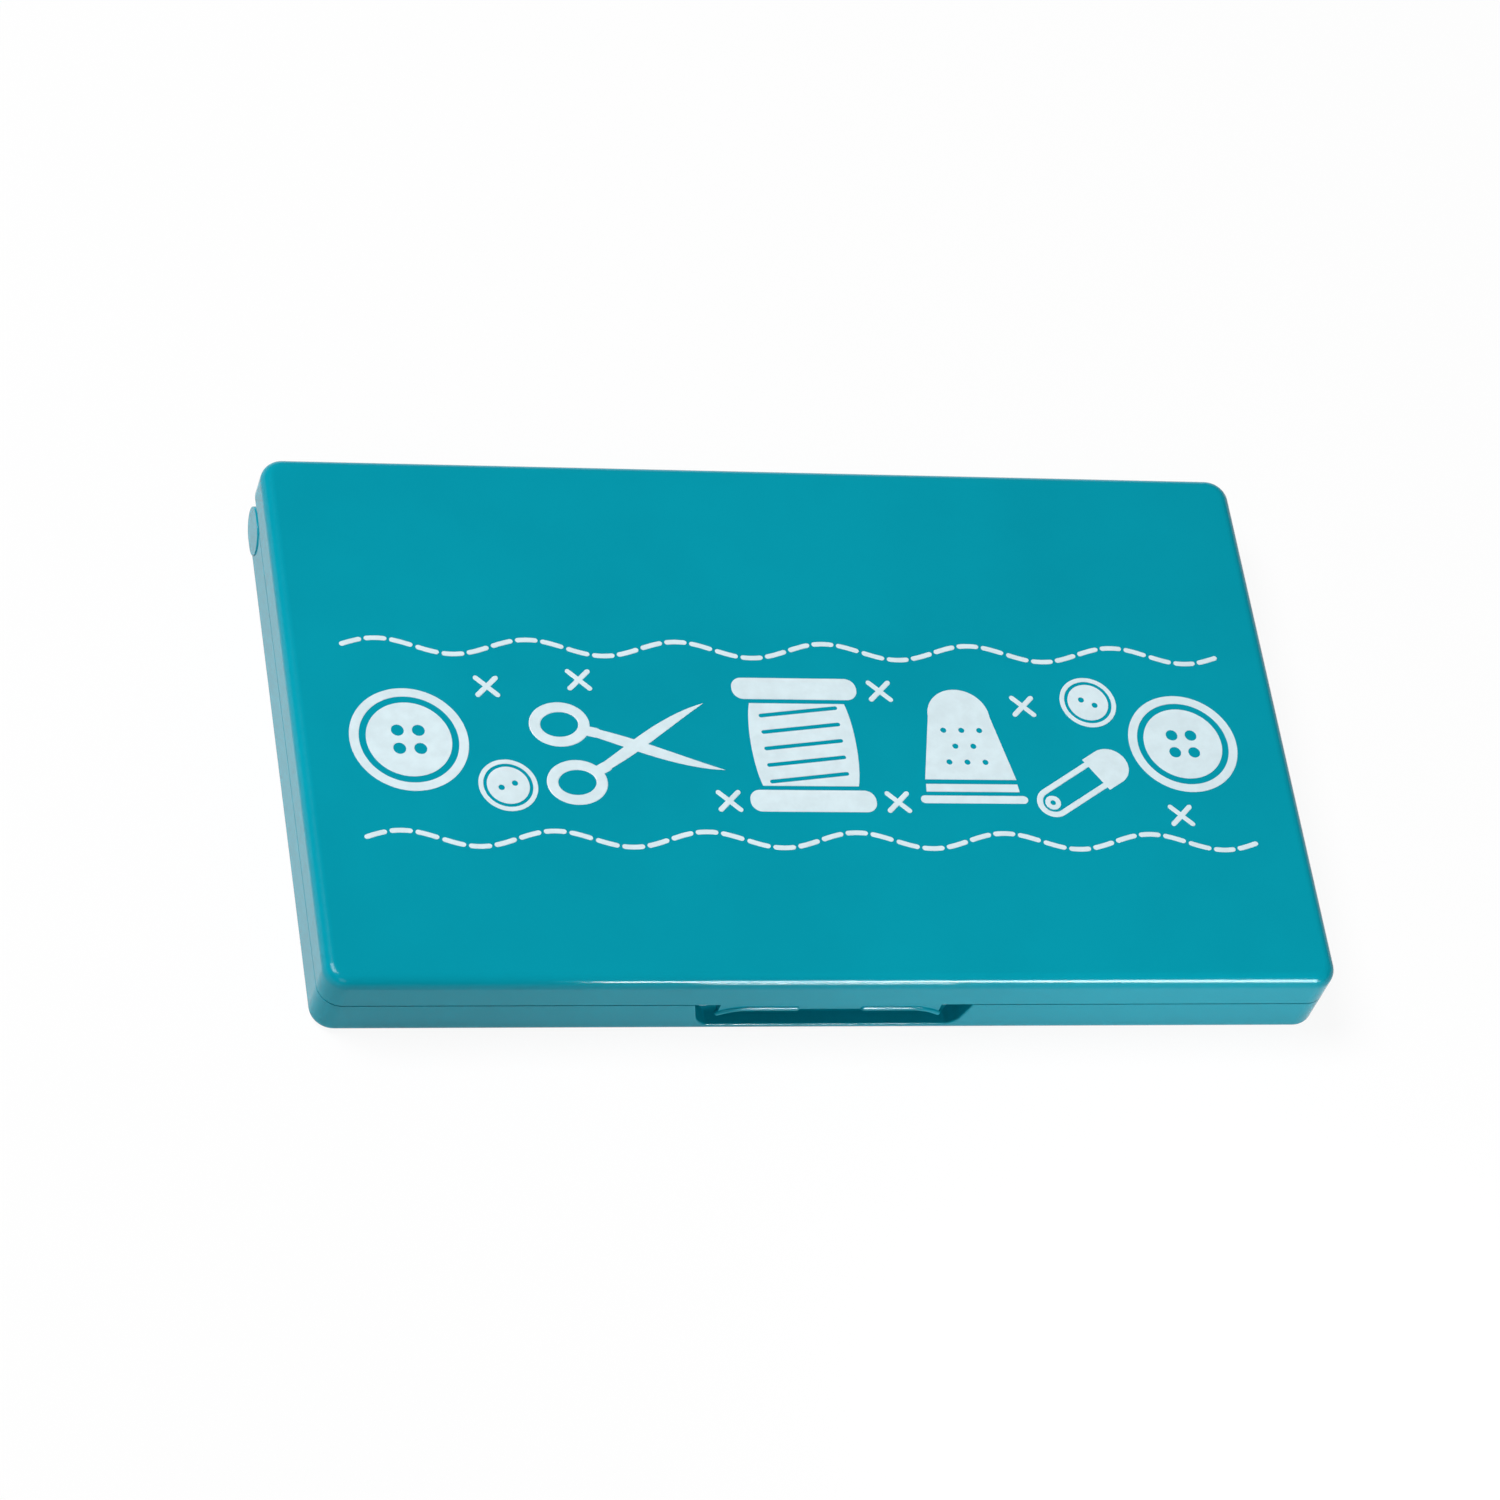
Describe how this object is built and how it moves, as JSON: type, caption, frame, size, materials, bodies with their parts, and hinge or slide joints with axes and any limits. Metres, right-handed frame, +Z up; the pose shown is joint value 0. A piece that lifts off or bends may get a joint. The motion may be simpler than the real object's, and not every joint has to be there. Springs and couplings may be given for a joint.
{
  "type": "magnetic needle case",
  "caption": "Slim hinged clamshell case in glossy teal plastic, with magnetic linings in base and lid that hold sewing needles and pins.",
  "frame": {"origin": "middle of the closed case's footprint, on the underside", "axes": "+X along the case, +Y towards the hinge (the thumb recess faces -Y), +Z up"},
  "size_m": [0.1142, 0.068, 0.01],
  "materials": {
    "case_plastic": "glossy moulded",
    "pin_steel": "drawn wire, cut ends",
    "magnet_rubber": "matt, dark brown-black",
    "face_vinyl": "satin white film",
    "adhesive": "clear pressure-sensitive film"
  },
  "bodies": {
    "base": {"base_shell": "case_plastic", "hinge_pin_left": "pin_steel", "hinge_pin_right": "pin_steel", "base_adhesive_film": "adhesive", "base_magnet_sheet": "magnet_rubber", "base_face_film": "face_vinyl"},
    "lid": {"lid_shell": "case_plastic", "lid_adhesive_film": "adhesive", "lid_magnet_sheet": "magnet_rubber", "lid_face_film": "face_vinyl"}
  },
  "joints": [
    {"name": "lid_hinge", "type": "hinge", "parent": "base", "child": "lid", "pos_m": [0, 0.0292, 0.0029], "axis": [-1, 0, 0], "range_deg": [0, 105]}
  ]
}
